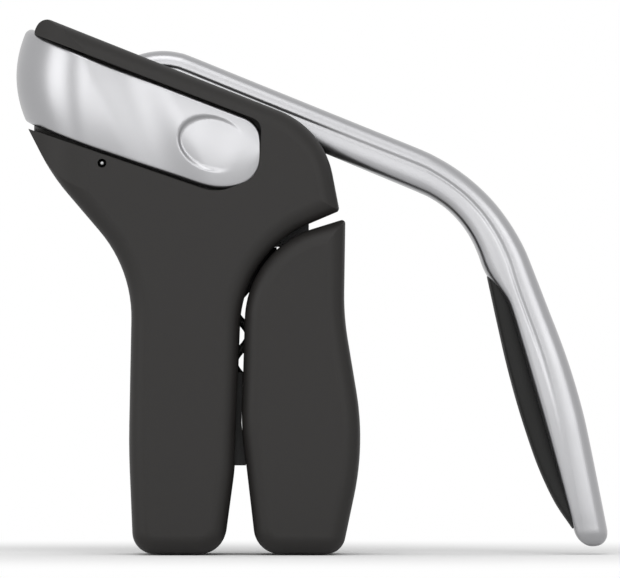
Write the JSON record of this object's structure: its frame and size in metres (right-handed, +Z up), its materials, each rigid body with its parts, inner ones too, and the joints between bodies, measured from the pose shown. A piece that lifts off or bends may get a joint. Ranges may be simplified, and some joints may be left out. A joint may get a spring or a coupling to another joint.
{
  "type": "lever wine opener",
  "caption": "Lever wine opener with grips round the bottle neck, a geared lever that drives a worm, and a clip-on foil cutter round the nose.",
  "frame": {"origin": "on the bottle neck's axis, in the plane on which the grips stand", "axes": "+X from the nose towards the lever's hand end, +Y away from the viewer of the picture, +Z up along the neck's axis"},
  "size_m": [0.2008, 0.05, 0.1811],
  "materials": {
    "soft_black": "soft-touch black",
    "black_rubber": "matt black",
    "satin_alloy": "satin cast alloy",
    "plain_steel": "plain steel",
    "dark_nylon": "dark nylon",
    "coated_wire": "dark non-stick coat"
  },
  "bodies": {
    "frame": {"near_shell": "soft_black", "far_shell": "soft_black", "shell_screws": "plain_steel", "fixed_liner": "black_rubber", "rim_seat": "black_rubber", "nut_holder": "dark_nylon", "worm_nut": "dark_nylon", "holder_dowel": "plain_steel", "lever_pin": "plain_steel", "hinge_bracket": "dark_nylon", "bracket_dowel": "plain_steel", "hinge_pin": "plain_steel", "head_pins": "plain_steel"},
    "lever": {"lever_arm": "satin_alloy", "lever_pad": "black_rubber", "near_sector": "plain_steel", "far_sector": "plain_steel", "sector_rivets": "plain_steel"},
    "carriage": {"carriage_block": "dark_nylon", "carriage_cap": "dark_nylon", "near_rack": "plain_steel", "far_rack": "plain_steel", "rack_rivets": "plain_steel"},
    "worm": {"worm_wire": "coated_wire", "worm_core": "plain_steel"},
    "moving_grip": {"near_jaw": "soft_black", "far_jaw": "soft_black", "jaw_liner": "black_rubber", "jaw_screws": "plain_steel"},
    "foil_cutter": {"cutter_body": "satin_alloy", "wheel_pins": "plain_steel"},
    "wheel_1": {"cutter_wheel_1": "plain_steel"},
    "wheel_2": {"cutter_wheel_2": "plain_steel"},
    "wheel_3": {"cutter_wheel_3": "plain_steel"},
    "wheel_4": {"cutter_wheel_4": "plain_steel"}
  },
  "joints": [
    {"name": "lever_lift", "type": "hinge", "parent": "frame", "child": "lever", "pos_m": [-0.0267, 0, 0.1452], "axis": [0, -1, 0], "range_deg": [0, 125]},
    {"name": "carriage_rise", "type": "slide", "parent": "frame", "child": "carriage", "axis": [0, 0, 1], "range_m": [0, 0.0491]},
    {"name": "worm_spin", "type": "hinge", "parent": "carriage", "child": "worm", "pos_m": [0, 0, 0.1378], "axis": [0, 0, 1], "range_deg": [0, 955.5]},
    {"name": "grip_open", "type": "hinge", "parent": "frame", "child": "moving_grip", "pos_m": [0.019, 0, 0.104], "axis": [0, -1, 0], "range_deg": [0, 10]},
    {"name": "cutter_lift_off", "type": "slide", "parent": "frame", "child": "foil_cutter", "axis": [-0.9367, 0, 0.3502], "range_m": [0, 0.09]},
    {"name": "wheel_1_spin", "type": "hinge", "parent": "foil_cutter", "child": "wheel_1", "pos_m": [-0.044, -0.0207, 0.1504], "axis": [0.3502, 0, 0.9367], "continuous": true},
    {"name": "wheel_2_spin", "type": "hinge", "parent": "foil_cutter", "child": "wheel_2", "pos_m": [-0.02714, -0.0207, 0.1441], "axis": [0.3502, 0, 0.9367], "continuous": true},
    {"name": "wheel_3_spin", "type": "hinge", "parent": "foil_cutter", "child": "wheel_3", "pos_m": [-0.044, 0.0207, 0.1504], "axis": [0.3502, 0, 0.9367], "continuous": true},
    {"name": "wheel_4_spin", "type": "hinge", "parent": "foil_cutter", "child": "wheel_4", "pos_m": [-0.02714, 0.0207, 0.1441], "axis": [0.3502, 0, 0.9367], "continuous": true}
  ],
  "couplings": [
    {"joint": "carriage_rise", "follows": "lever_lift", "m_per_rad": 0.0225},
    {"joint": "worm_spin", "follows": "lever_lift", "ratio": 7.6417}
  ]
}
